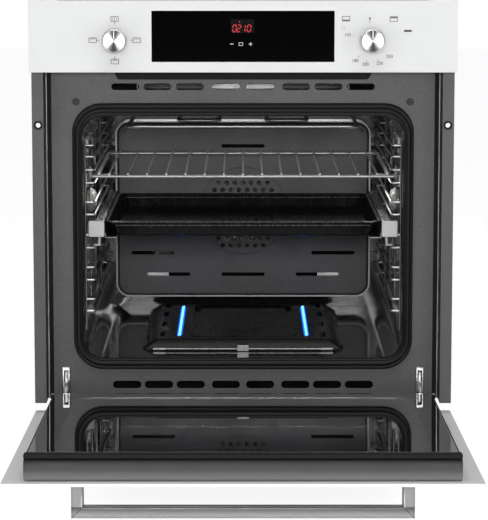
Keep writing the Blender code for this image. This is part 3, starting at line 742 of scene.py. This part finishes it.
def oven_icon(x, z, marks):
    """A small outlined rectangle with marks inside it, for a cooking function."""
    w, h, t = 5.2, 3.3, 0.36
    found = [
        (x - w, x + w, *PRINT_Y, z + h - t, z + h + t), (x - w, x + w, *PRINT_Y, z - h - t, z - h + t),
        (x - w - t, x - w + t, *PRINT_Y, z - h, z + h), (x + w - t, x + w + t, *PRINT_Y, z - h, z + h),
    ]
    for u0, u1, v0, v1 in marks:
        found.append((x + u0, x + u1, *PRINT_Y, z + v0, z + v1))
    return found


def number(name, text, x, z, size):
    """A printed number of the dial."""
    curve = bpy.data.curves.new(name, "FONT")
    curve.body = text
    curve.size = size * MM
    curve.extrude = 0.08 * MM
    curve.align_x, curve.align_y = "CENTER", "CENTER"
    mesh = mesh_from(curve)
    mesh.transform(Matrix.Translation(at(x, -0.12, z)) @ Matrix.Rotation(math.radians(90), 4, "X"))
    piece(name, mesh, "print", "oven", smooth=0)


def controls():
    dress(["control_panel_glass"], "white", 0.5)
    display = plate([rounded(-127, 127, 509.8, 580.8, 0.6, 2)], "Y", -0.12, -0.02)
    piece("display_area", display, "display", "oven")
    window = boxes([(-17, 15.5, -0.2, -0.13, 550, 569)], 0)
    piece("display_window", window, "window", "oven")
    lit = []
    for x, digit in ((-11.8, "0"), (-5.6, "2"), (0.6, "1"), (8.4, "0")):
        lit += seven_segments(x, 556.5, 9.4, digit)
    lit.append((-5.4, -4.2, *LIT_Y, 564.6, 566.2))
    piece("display_digits", boxes(lit, 0.06, 1), "red", "oven", smooth=0)
    # minus, plus and a plain square between them
    keys = [
        (-18.0, -13.2, *KEY_Y, 534.2, 535.2), (8.2, 13.0, *KEY_Y, 534.2, 535.2), (10.1, 11.1, *KEY_Y, 532.3, 537.1),
        (-5.6, -0.4, *KEY_Y, 536.4, 537.1), (-5.6, -0.4, *KEY_Y, 532.3, 533.0),
        (-5.9, -5.2, *KEY_Y, 532.3, 537.1), (-0.8, -0.1, *KEY_Y, 532.3, 537.1),
    ]
    piece("touch_keys", boxes(keys, 0.05, 1), "key_print", "oven", smooth=0)

    marks = oven_icon(-178, 569.5, [(-0.3, 0.3, -3, 3), (-3.2, -2.6, -1.4, 1.4), (2.6, 3.2, -1.4, 1.4)])
    marks += oven_icon(-208.5, 540, [(-3.6, 3.6, 1.5, 2.1)])
    marks += oven_icon(-147.5, 540, [(-3.6, 3.6, 1.5, 1.9)])
    marks += oven_icon(-178, 510.5, [(-3.6, 3.6, 1.3, 1.8), (-0.3, 0.3, 1, 3)])
    marks += [
        (-178.3, -177.7, *PRINT_Y, 562, 566), (-178.3, -177.7, *PRINT_Y, 514, 518),
        (-203, -199.4, *PRINT_Y, 539.7, 540.3), (-156.4, -152.8, *PRINT_Y, 539.7, 540.3),
    ]
    marks += oven_icon(142.8, 569.8, [(-4.6, 4.6, -2.6, -1.2)])
    marks += oven_icon(209, 569.4, [(-4.6, 4.6, 1.2, 2.6)])
    marks += [(175.6, 176.2, *PRINT_Y, 564.2, 567), (174.9, 176.9, *PRINT_Y, 568.4, 571.6)]
    marks += [(151.6, 153.6, *PRINT_Y, 546.0, 546.5)]
    piece("panel_marks", boxes(marks, 0), "print", "oven", smooth=0)
    ticks = []
    for degrees in (141, 165.5, 198, 226):
        a = math.radians(degrees)
        points = [(179 - r * math.sin(a), -0.15, KNOB_Z + r * math.cos(a)) for r in (28.2, 31.4)]
        ticks.append((points, 0.28))
    # a small star for the flame symbol
    for k in range(6):
        t = math.tau * k / 6 + 0.3
        points = [(138.9 + r * math.cos(t), -0.15, 556.7 + r * math.sin(t)) for r in (1.6, 3.0)]
        ticks.append((points, 0.25))
    wires("dial_ticks", ticks, "print", "oven", 1)
    for text, x, z in (("150", 145.0, 547.4), ("180", 155.7, 511.6), ("200", 170.2, 506.6),
                       ("230", 189.8, 507.8), ("250", 203.5, 517.4)):
        number(f"dial_{text}", text, x, z, 6.2)
    dress(["pilot_lamp_lens"], "plastic", 0.2)

    for x, body in KNOBS:
        profile = [
            (0, -24), (14.6, -24), (15.3, -23.9), (15.9, -23.5), (16.4, -22.9), (16.6, -22.2),
            (16.9, -15), (17.3, -8), (17.5, -7.2), (17.5, -5.0), (17.2, -4.6), (0, -4.6),
        ]
        knob = piece(f"{body}_cap", spun(profile, x, KNOB_Z, 96), "knob_side", body, smooth=50)
        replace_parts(knob, body)
        # The turned face is its own thin disc so that its rings turn about its own centre.
        disc = spun([(0, -24.06), (14.7, -24.06), (14.7, -24.0), (0, -24.0)], x, KNOB_Z, 96)
        centre = at(x, -24, KNOB_Z)
        disc.transform(Matrix.Translation(-centre))
        face = added(f"{body}_face", disc)
        face.location = centre
        disc.materials.append(knob_face)
        disc.polygons.foreach_set("use_smooth", [True] * len(disc.polygons))
        disc.set_sharp_from_angle(angle=math.radians(40))
        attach(face, body)
        line = boxes([(x - 0.75, x + 0.75, -24.4, -23.9, 542.5, 554)], 0.2, 2)
        piece(f"{body}_pointer", line, "pointer", body)


def knob_metal():
    """Painted conic sheen of a turned face: its colour is painted bright to the sides and darker up and down, a
    painted reflection, and it is finely ringed.
    """
    paint = turned("knob_turned", 0.74, 0.24)
    angle = paint.calc("ARCTAN2", paint.along("X"), paint.along("Z"))
    # painted reflection: bright where side lights would reflect, dark above and below
    stops = [(0.0, grey(0.13)), (0.22, grey(0.16)), (0.5, grey(0.42)), (0.8, grey(0.80)), (1.0, grey(0.86))]
    paint.color_by(paint.calc("ABSOLUTE", paint.calc("SINE", angle)), stops)
    rings = paint.add("ShaderNodeTexWave", wave_type="RINGS", rings_direction="Y")
    rings.inputs["Scale"].default_value = 900
    paint.link(paint.place, rings.inputs["Vector"])
    paint.bump(rings.outputs["Fac"], 0.08, 0.02)
    return paint.material


knob_face = knob_metal()


# ---------------------------------------------------------------- body
def body():
    half, low, high = FRAME_HALF, FRAME_LOW, FRAME_HIGH
    notch = [(187.5, high), (185.5, 499), (177.5, 484.2), (175, 482.2)]
    frame_outline = [(-half, low), (half, low), (half, high), *notch]
    frame_outline += [(-u, v) for u, v in notch[::-1]] + [(-half, high)]
    holes = [rounded(-229.4, 229.4, 81.8, 431.6, 31, 16)]
    for x in (24.5, 75, 120.6, 166.3):
        for side in (-1, 1):
            holes.append(stadium(side * x, 471.9, 39, 9.3))
            holes.append(stadium(side * x, 43.7, 40.5, 10.9))
    for side in (-1, 1):
        holes.append(rounded(side * HINGE_X - 5.4, side * HINGE_X + 5.4, 31.5, 69.8, 1.2, 3))
    sheet = plate([frame_outline, *holes], "Y", FRAME_Y, FRAME_Y + 1.5, 0.35)
    face = piece("front_frame_face", sheet, "frame_paint", "oven")
    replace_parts(face, "front_frame")
    returns = [(-half, -269.5, 46.4, 60.2, low, high), (269.5, half, 46.4, 60.2, low, high)]
    returns.append((-269.6, 269.6, 46.4, 49.5, low, 29.5))
    piece("front_frame_returns", boxes(returns, 0), "frame_paint", "oven", smooth=0)
    # A near-black plate and lip behind the notch in the frame's top edge: painted shade for the dark duct seen
    # through the notch.
    lip = boxes([(-187, 187, 47.2, 48.6, 477.6, 497.5), (-187, 187, 47.2, 60, 477.6, 479)], 0.3)
    piece("duct_lip", lip, "dark", "oven")
    # Near-black boxes in the gaps between the front frame and the casing sides: painted shade for these gaps.
    strips = [mirrored(side, 271.4, 277.1, 50.5, 60, 30, 583) for side in (-1, 1)]
    piece("side_gap_shade", boxes(strips, 0.5), "dark", "oven")
    profile = [(0, 42.6), (3.9, 42.6), (4.5, 42.9), (4.9, 43.8), (4.9, 44.9), (0, 44.9)]
    for side, word in SIDES:
        bumper = spun(profile, side * 236, 450.4, 32)
        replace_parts(piece(f"bumper_{word}", bumper, "bumper", "oven"), f"door_bumper_{word}")
    for names, paint, edge in (
        ("side_trim_left side_trim_right", "trim_paint", 0.4),
        ("trim_grommet_left trim_grommet_right", "dark", 0.2),
        ("casing_left casing_right casing_top casing_back", "zinc", 0.3),
        ("base_plate", "base_zinc", 0.3),
        ("panel_bracket cooling_fan_motor fan_motor", "zinc", 0.3),
        ("cooling_fan_housing", "rotor", 0.2),
        ("cooling_fan_rotor", "rotor", 0),
        ("fan_wheel", "wheel", 0.2),
        ("timer_module function_switch", "plastic", 0.4),
        ("thermostat_body thermostat_shaft", "satin", 0.3),
        ("insulation_blanket", "wool", 0),
        ("gas_inlet_pipe burner_feed_pipe", "brass", 0),
        ("oven_burner", "zinc", 0.5),
    ):
        dress(names.split(), paint, edge)


def screws():
    """Pan-head screws that hold the casing panels, each with a cross recess."""
    spots = [((x, CASING_BACK, z), "Y") for x in (-262, 262) for z in (44, 300, 560)]
    spots += [((x, CASING_BACK, z), "Y") for x in (-90, 90) for z in (34, 574)]
    for side in (-1, 1):
        spots += [((side * CASING_HALF, y, z), side) for y in (80, 545) for z in (60, 300, 540)]
    head, recess = bmesh.new(), bmesh.new()
    for (x, y, z), way in spots:
        if way == "Y":
            turn = Matrix.Rotation(math.radians(-90), 4, "X")
        else:
            turn = Matrix.Rotation(math.radians(90 * way), 4, "Y")
        place = Matrix.Translation(at(x, y, z)) @ turn
        rings = ((4.0, 0.0), (3.9, 0.7), (3.3, 1.5), (2.2, 2.0), (0.8, 2.15))
        rows = []
        for radius, height in rings:
            rows.append([
                head.verts.new(place @ (Vector((radius * math.cos(a), radius * math.sin(a), height)) * MM))
                for a in (math.tau * i / 20 for i in range(20))
            ])
        for first, second in zip(rows, rows[1:]):
            for i in range(20):
                j = (i + 1) % 20
                head.faces.new((first[i], first[j], second[j], second[i]))
        head.faces.new(rows[-1])
        head.faces.new(rows[0][::-1])
        # The cross recesses are near-black boxes on the heads: painted shade where a real recess would be shaded.
        for long, wide in ((2.1, 0.4), (0.4, 2.1)):
            slot = bmesh.ops.create_cube(recess, size=1.0)
            for vert in slot["verts"]:
                local = Vector((vert.co.x * 2 * long, vert.co.y * 2 * wide, 2.0 + vert.co.z * 0.5))
                vert.co = place @ (local * MM)
    piece("casing_screws", mesh_of(head, weld=1e-7), "bright_zinc", "oven")
    piece("casing_screw_recess_shade", mesh_of(recess, weld=1e-7), "dark", "oven", smooth=0)


def gasket():
    """A ribbed seal swept round the mouth."""
    width = 13.0
    profile = [
        (0.0, 44.7), (0.3, 42.0), (1.2, 40.6), (2.8, 40.2), (3.6, 41.2), (4.6, 41.0), (5.4, 39.2), (7.2, 38.7),
        (8.8, 39.2), (9.4, 40.8), (10.4, 41.0), (11.2, 40.2), (12.4, 40.8), (12.9, 42.4), (width, 44.7),
    ]
    rings = []
    for inset, y in profile:
        share = inset / width
        u = 241.5 - inset
        low, high = 67 + 15.7 * share, 448.5 - 17.8 * share
        rings.append(ring_y(rounded(-u, u, low, high, 42 - 12 * share, 20), y))
    seal = piece("cavity_seal", loft(rings, (False, False)), "rubber", "oven", smooth=60)
    walled(seal, 0.4, 0)
    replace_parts(seal, "cavity_gasket")


def cavity():
    dress(["cavity_liner"], "enamel", 1.2)
    ribs = []
    for side in (-1, 1):
        for y in (150, 268, 380):
            ribs.append(([(side * 231.3, y, 135), (side * 231.3, y, 375)], 2.4))
    wires("wall_ribs", ribs, "enamel", "oven", 4)
    dress(["grill_element"], "satin", 0)
    brackets = [mirrored(side, 119, 160, 446, 447.4, 131, 150) for side in (-1, 1)]
    piece("fan_brackets", boxes(brackets, 0.3), "satin", "oven")
    dress(["lamp_left", "lamp_right"], "lamp", 0.2)


def fan_cover():
    holes = []
    for x, z in ((0, 347), (-144, 175.2), (144, 175.2), (0, 140.4), (-119, 140.4), (119, 140.4)):
        holes.append(stadium(x, z, 69, 5.6))
    for row in range(-5, 6):
        count = 11 - abs(row)
        for step in range(count):
            holes.append(circle((step - (count - 1) / 2) * 12.95, FAN_Z + row * 11.1, 3.8, 16))
    sheet = plate([rounded(-197, 197, 110, 381, 16.5, 10), *holes], "Y", 441, 442.2, 0.2, 1)
    face = piece("fan_cover_face", sheet, "speckled", "oven")
    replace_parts(face, "fan_cover")
    rings = []
    for grow, y in ((-6.3, 441.0), (-4.4, 441.2), (-2.6, 442.0), (-1.2, 443.3), (-0.3, 445.2), (0, 447.5)):
        rings.append(ring_y(rounded(-203 - grow, 203 + grow, 104 - grow, 387 + grow, 22 + grow, 12), y))
    side_rings = [ring_y(rounded(-203, 203, 104, 387, 22, 12), y) for y in (447.4, 474.6)]
    for name, skin, paint in (("side", side_rings, "side_enamel"), ("rim", rings, "rim_enamel")):
        open_skin = loft(skin, (False, False))
        walled(piece(f"fan_cover_{name}", open_skin, paint, "oven", smooth=60), 1.0)
    # The bead's near-white colour is a painted highlight of the cover's rounded edge.
    loop = rounded(-201.8, 201.8, 105.2, 385.8, 20.8, 12)
    bead = [(u, 441.6, v) for u, v in loop + loop[:1]]
    wires("fan_cover_bead", [(bead, 1.4)], "bead", "oven", 3)
    lip = [(-186, 186, 469, 470, 392, 398.5)]
    piece("rear_lip", boxes(lip, 0.3, 2), "satin", "oven")
    ring = [(u, 440.95, v) for u, v in arc(0, FAN_Z, 70, 0, 360, 64)]
    wires("fan_cover_emboss", [(ring, 0.9)], "speckled", "oven", 3)
    profile = [(0, 439.6), (2.2, 439.7), (3.4, 440.3), (3.6, 441.2), (0, 441.2)]
    for index, (x, z) in enumerate(((-188, 372), (188, 372), (-188, 119), (188, 119))):
        head = spun(profile, x, z, 20)
        piece(f"fan_cover_screw_{index}", head, "speckled", "oven")


def burner():
    """The plate over the burner, its rod and clip, and the flames that show in its two long slots."""
    rings = []
    for half, inset, radius, z in ((147, 0, 6, 83.1), (146, 1, 6, 84.4), (131, 10, 8, 94.8), (128, 12, 8, 95.9),
                                   (126.5, 13.5, 8, 96.0)):
        rings.append(ring_z(rounded(-half, half, 109 + inset, 437 - inset, radius, 5), z))
    open_skin = loft(rings, (False, False))
    skirt = walled(piece("burner_plate_skirt", open_skin, "plate_enamel", "oven", smooth=50), 0.9)
    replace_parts(skirt, "burner_plate")
    legs = (-BURNER_LEG_X, BURNER_LEG_X)
    holes = [rounded(x - 3.75, x + 3.75, 146, 401, 3.7, 6) for x in legs]
    for x in (-118.5, 118.5):
        for y in (160, 245, 327, 403):
            holes.append(rounded(x - 3.6, x + 3.6, y - 20, y + 20, 3.5, 5))
    recess = rounded(-78, 78, 138, 408, 14, 6)
    top = plate([rounded(-126.6, 126.6, 122.4, 423.6, 8, 5), *holes, recess], "Z", 94.9, 96.0, 0.15, 1)
    piece("burner_plate_top", top, "plate_enamel", "oven")
    pressed = []
    for half, radius, z in ((78.2, 14, 95.8), (76.5, 13, 95.0), (74, 12, 93.2), (72, 11, 92.8)):
        pressed.append(ring_z(rounded(-half, half, 216 - half, 330 + half, radius, 6), z))
    open_skin = loft(pressed, (False, True))
    walled(piece("burner_plate_recess", open_skin, "plate_enamel", "oven", smooth=50), 0.8)
    for index, x in enumerate((-71, 71)):
        work = bmesh.new()
        bmesh.ops.create_uvsphere(work, u_segments=20, v_segments=12, radius=4.4 * MM)
        for vert in work.verts:
            vert.co.z *= 0.55
        bmesh.ops.translate(work, vec=at(x, 390, 96.0), verts=work.verts)
        piece(f"burner_stud_{index}", mesh_of(work), "plate_enamel", "oven")
    dress(["burner_plate_clip"], "clip", 0.5)
    rod_path = [(-131, 97.5, 85.6), (131, 97.5, 85.6)]
    bar = wires("burner_rod", [(rod_path, 1.1)], "rod", "oven", 5)
    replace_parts(bar, "burner_plate_rod")
    flats = [mirrored(side, 113, 131, 96.6, 98.4, 84.1, 87.1) for side in (-1, 1)]
    piece("burner_rod_ends", boxes(flats, 0.6, 3), "satin", "oven")
    # flames: a row of small cones along each burner leg, seen through the slots
    for side, word in SIDES:
        outer, core = bmesh.new(), bmesh.new()
        for step in range(40):
            y = 150 + step * 6.3
            sway = 0.9 if step % 2 else -0.9
            for work, low, high, height, shift in ((outer, 3.6, 3.3, 8.9, 0), (core, 1.7, 0.8, 10.6, sway)):
                cone = bmesh.ops.create_cone(
                    work, cap_ends=True, segments=12, radius1=low * MM, radius2=high * MM, depth=height * MM
                )
                middle = at(side * BURNER_LEG_X + shift, y, 86.5 + height / 2)
                bmesh.ops.translate(work, vec=middle, verts=cone["verts"])
        piece(f"flame_{word}", mesh_of(outer), "flame", "oven")
        piece(f"flame_core_{word}", mesh_of(core), "flame_core", "oven")


# ---------------------------------------------------------------- racks, shelf, runners, tray
def racks():
    front, back = RACK_ENDS_Y
    for side, word in SIDES:
        wall, rung = side * RACK_X, side * 213
        # The posts use a darker copy of the rack chrome: painted shade.
        posts = [([(wall, y, 118), (wall, y, 392)], 1.9) for y in RACK_ENDS_Y]
        wires(f"rack_posts_{word}", posts, "post", "oven", 4)
        paths = []
        for pair in RUNG_PAIRS:
            for z in pair:
                corners = ((wall, front, z), (rung, front, z), (rung, back, z), (wall, back, z))
                paths.append((bent(corners, 4, 5), 1.6))
        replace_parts(wires(f"rack_wires_{word}", paths, "chrome", "oven", 4), f"rack_{word}")


def shelf():
    z, half, front, back = 336.4, 214.0, 116.0, 430.0
    loop = bent(((-half, front, z), (-half, back, z), (half, back, z), (half, front, z)), 12, 6)
    paths = [(loop, 2.6), ([(-219, front, z), (219, front, z)], 2.6)]
    for index in range(15):
        x = (index - 7) * 27.8
        paths.append(([(x, front - 3, z + 3.1), (x, back + 2, z + 3.1)], 1.5))
    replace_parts(wires("shelf_wires", paths, "shelf", "wire_shelf", 4), "wire_shelf")


def runners():
    for side, word in SIDES:
        dress([f"runner_rail_{word}", f"runner_slide_{word}"], "runner", 0.3)
        bars = [
            mirrored(side, 199.2, 200.4, 70, 422, 256.5, 277.5),
            mirrored(side, 199.2, 204.8, 70, 422, 276.3, 277.5),
            mirrored(side, 199.2, 204.8, 70, 422, 256.5, 257.7),
            mirrored(side, 199.2, 200.4, 105, 420, 247.6, 258),
            mirrored(side, 184, 200, 105, 420, 247.6, 249),
        ]
        profile = piece(f"carriage_profile_{word}", boxes(bars, 0.25, 2), "runner", "tray")
        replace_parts(profile, f"runner_carriage_{word}")
        outline = rounded(*sorted((side * 198.2, side * 221.3)), 254.9, 278.3, 2.4, 6)
        piece(f"runner_cap_{word}", plate([outline], "Y", 62, 72, 0.9, 3), "satin", "tray")
        balls = bmesh.new()
        for step in range(20):
            for z in (259.6, 274.4):
                ball = bmesh.ops.create_icosphere(balls, subdivisions=2, radius=1.4 * MM)
                bmesh.ops.translate(balls, vec=at(side * 205.4, 92 + step * 16.5, z), verts=ball["verts"])
        piece(f"runner_balls_{word}", mesh_of(balls), "chrome", f"runner_slide_{word}")


def tray():
    """The bowl, from its rolled lip down to its floor, and two bright lines round it."""
    rings = []
    for half, front, radius, z in (
        (197.2, 100, 12, 270.8), (198.4, 98.8, 13, 271.2), (198.6, 98.6, 13, 272.0), (198.2, 99.0, 13, 272.8),
        (197.2, 100, 12, 273.0), (195.6, 101.6, 11, 272.6), (195.0, 102.2, 11, 271.6), (187.6, 108, 11, 254.2),
        (185.6, 110, 10, 251.6), (181.5, 114, 9, 250.9),
    ):
        rings.append(ring_z(rounded(-half, half, front, 528 - front, radius, 8), z))
    bowl = piece("tray_bowl", loft(rings, (False, True)), "tray_enamel", "tray", smooth=50)
    walled(bowl, 0.9)
    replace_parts(bowl, "baking_tray")
    loops = []
    for z, out, radius in ((271.9, 198.0, 1.0), (266.4, 193.6, 0.7)):
        edge = rounded(-out, out, 297 - out, 231 + out, 13, 8)
        loops.append(([(u, v, z) for u, v in edge + edge[:1]], radius))
    wires("tray_rim", loops, "tray_rim", "tray", 3)


# ---------------------------------------------------------------- hinges and door
def hinges():
    for side, word in SIDES:
        dress([f"hinge_arm_{word}", f"hinge_latch_{word}"], "bright_zinc", 0.3)


def door():
    opening = rounded(-205, 205, 96, 396, 8, 6)
    pane = plate([rounded(-297.49, 297.49, 0.01, 490.45, 1.5, 3), opening], "Y", 0, 4, 0.4)
    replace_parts(piece("door_outer_pane", pane, "door_white", "door", door=True), "door_outer_glass")
    view = plate([opening], "Y", 0.15, 3.9, 0)
    piece("door_outer_window", view, "outer_window", "door", door=True)
    dress(["door_side_left", "door_side_right", "door_bottom_bracket"], "dark", 0.4)
    edge = rounded(-265.8, 265.8, 52, 462.7, 1.5, 3)
    border = plate([edge, rounded(-236, 236, 84, 450, 22, 8)], "Y", 33.2, 38, 0.4)
    window = plate([rounded(-236.3, 236.3, 83.7, 450.3, 22, 8)], "Y", 33.6, 37.9, 0)
    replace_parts(piece("door_inner_border", border, "mirror", "door", door=True), "door_inner_glass")
    piece("door_inner_window", window, "clear", "door", door=True)
    middle = plate([rounded(-172, 172, 70, 455, 2, 3)], "Y", 10, 13.5, 0.4)
    piece("door_middle_pane", middle, "silvered", "door", door=True)
    lining = plate([rounded(-253.5, 253.5, 53, 462, 2, 3)], "Y", 4.3, 5.6, 0.2)
    piece("door_window_print", lining, "display", "door", door=True)

    # The head's section, a little smaller towards each end. It runs from the flat under it round to the front.
    face = [(32.6, 474.6), (31.2, 477.0), (28.4, 479.0), (24.0, 480.2), (18.0, 480.5),
            (12.0, 480.0), (8.0, 478.6), (5.6, 476.4), (4.3, 473.4)]
    section = [(4.3, 463.0), (32.6, 463.0), *face]
    middle_y, middle_z = 18.4, 471.7
    rings = []
    for x, inset in ((-DOOR_HALF, 1.2), (-269.2, 0.3), (-268, 0), (268, 0), (269.2, 0.3), (DOOR_HALF, 1.2)):
        wide, tall = 1 - inset / 17, 1 - inset / 10
        rings.append([(x, middle_y + (y - middle_y) * wide, middle_z + (z - middle_z) * tall) for y, z in section])
    head = piece("door_head", loft(rings), "door_paint", "door", door=True, smooth=40)
    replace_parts(head, "door_top_profile")
    cap = boxes([(-DOOR_HALF, DOOR_HALF, 32.9, 38, 463.0, 479.4)], 1.0, 3)
    piece("door_head_cap", cap, "dark", "door", door=True)
    for side, word in SIDES:
        end = boxes([mirrored(side, 269.3, DOOR_HALF, 8, 30, 465, 477)], 0.2)
        piece(f"door_head_end_{word}", end, "plastic_black", "door", door=True)


def handle():
    """A rounded bar and its posts, mitred where they meet."""
    # In the section u runs outwards across the bar and v is the height of the closed door. A mitred ring leans.
    section = rounded(-7, 7, -7.85, 7.85, 3.6, 5)
    rings = []
    for side, y, lean in ((-1, -0.3, 0), (-1, -40.8, 1), (1, -40.8, 1), (1, -0.3, 0)):
        rings.append([(side * (206 + u), y - lean * u, 445 + v) for v, u in section])
    bar = piece("handle_bar", loft(rings), "brushed", "door", door=True, smooth=40)
    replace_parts(bar, "door_handle")
    mitres = []
    for side in (-1, 1):
        for z in (452.0, 438.0):
            mitres.append(([(side * 198.6, -33.4, z), (side * 213.6, -48.2, z)], 0.3))
    wires("handle_mitres", mitres, "dark", "door", 2, door=True)


studio()
controls()
body()
screws()
gasket()
cavity()
fan_cover()
burner()
racks()
shelf()
runners()
tray()
hinges()
door()
handle()
flatten_normals()
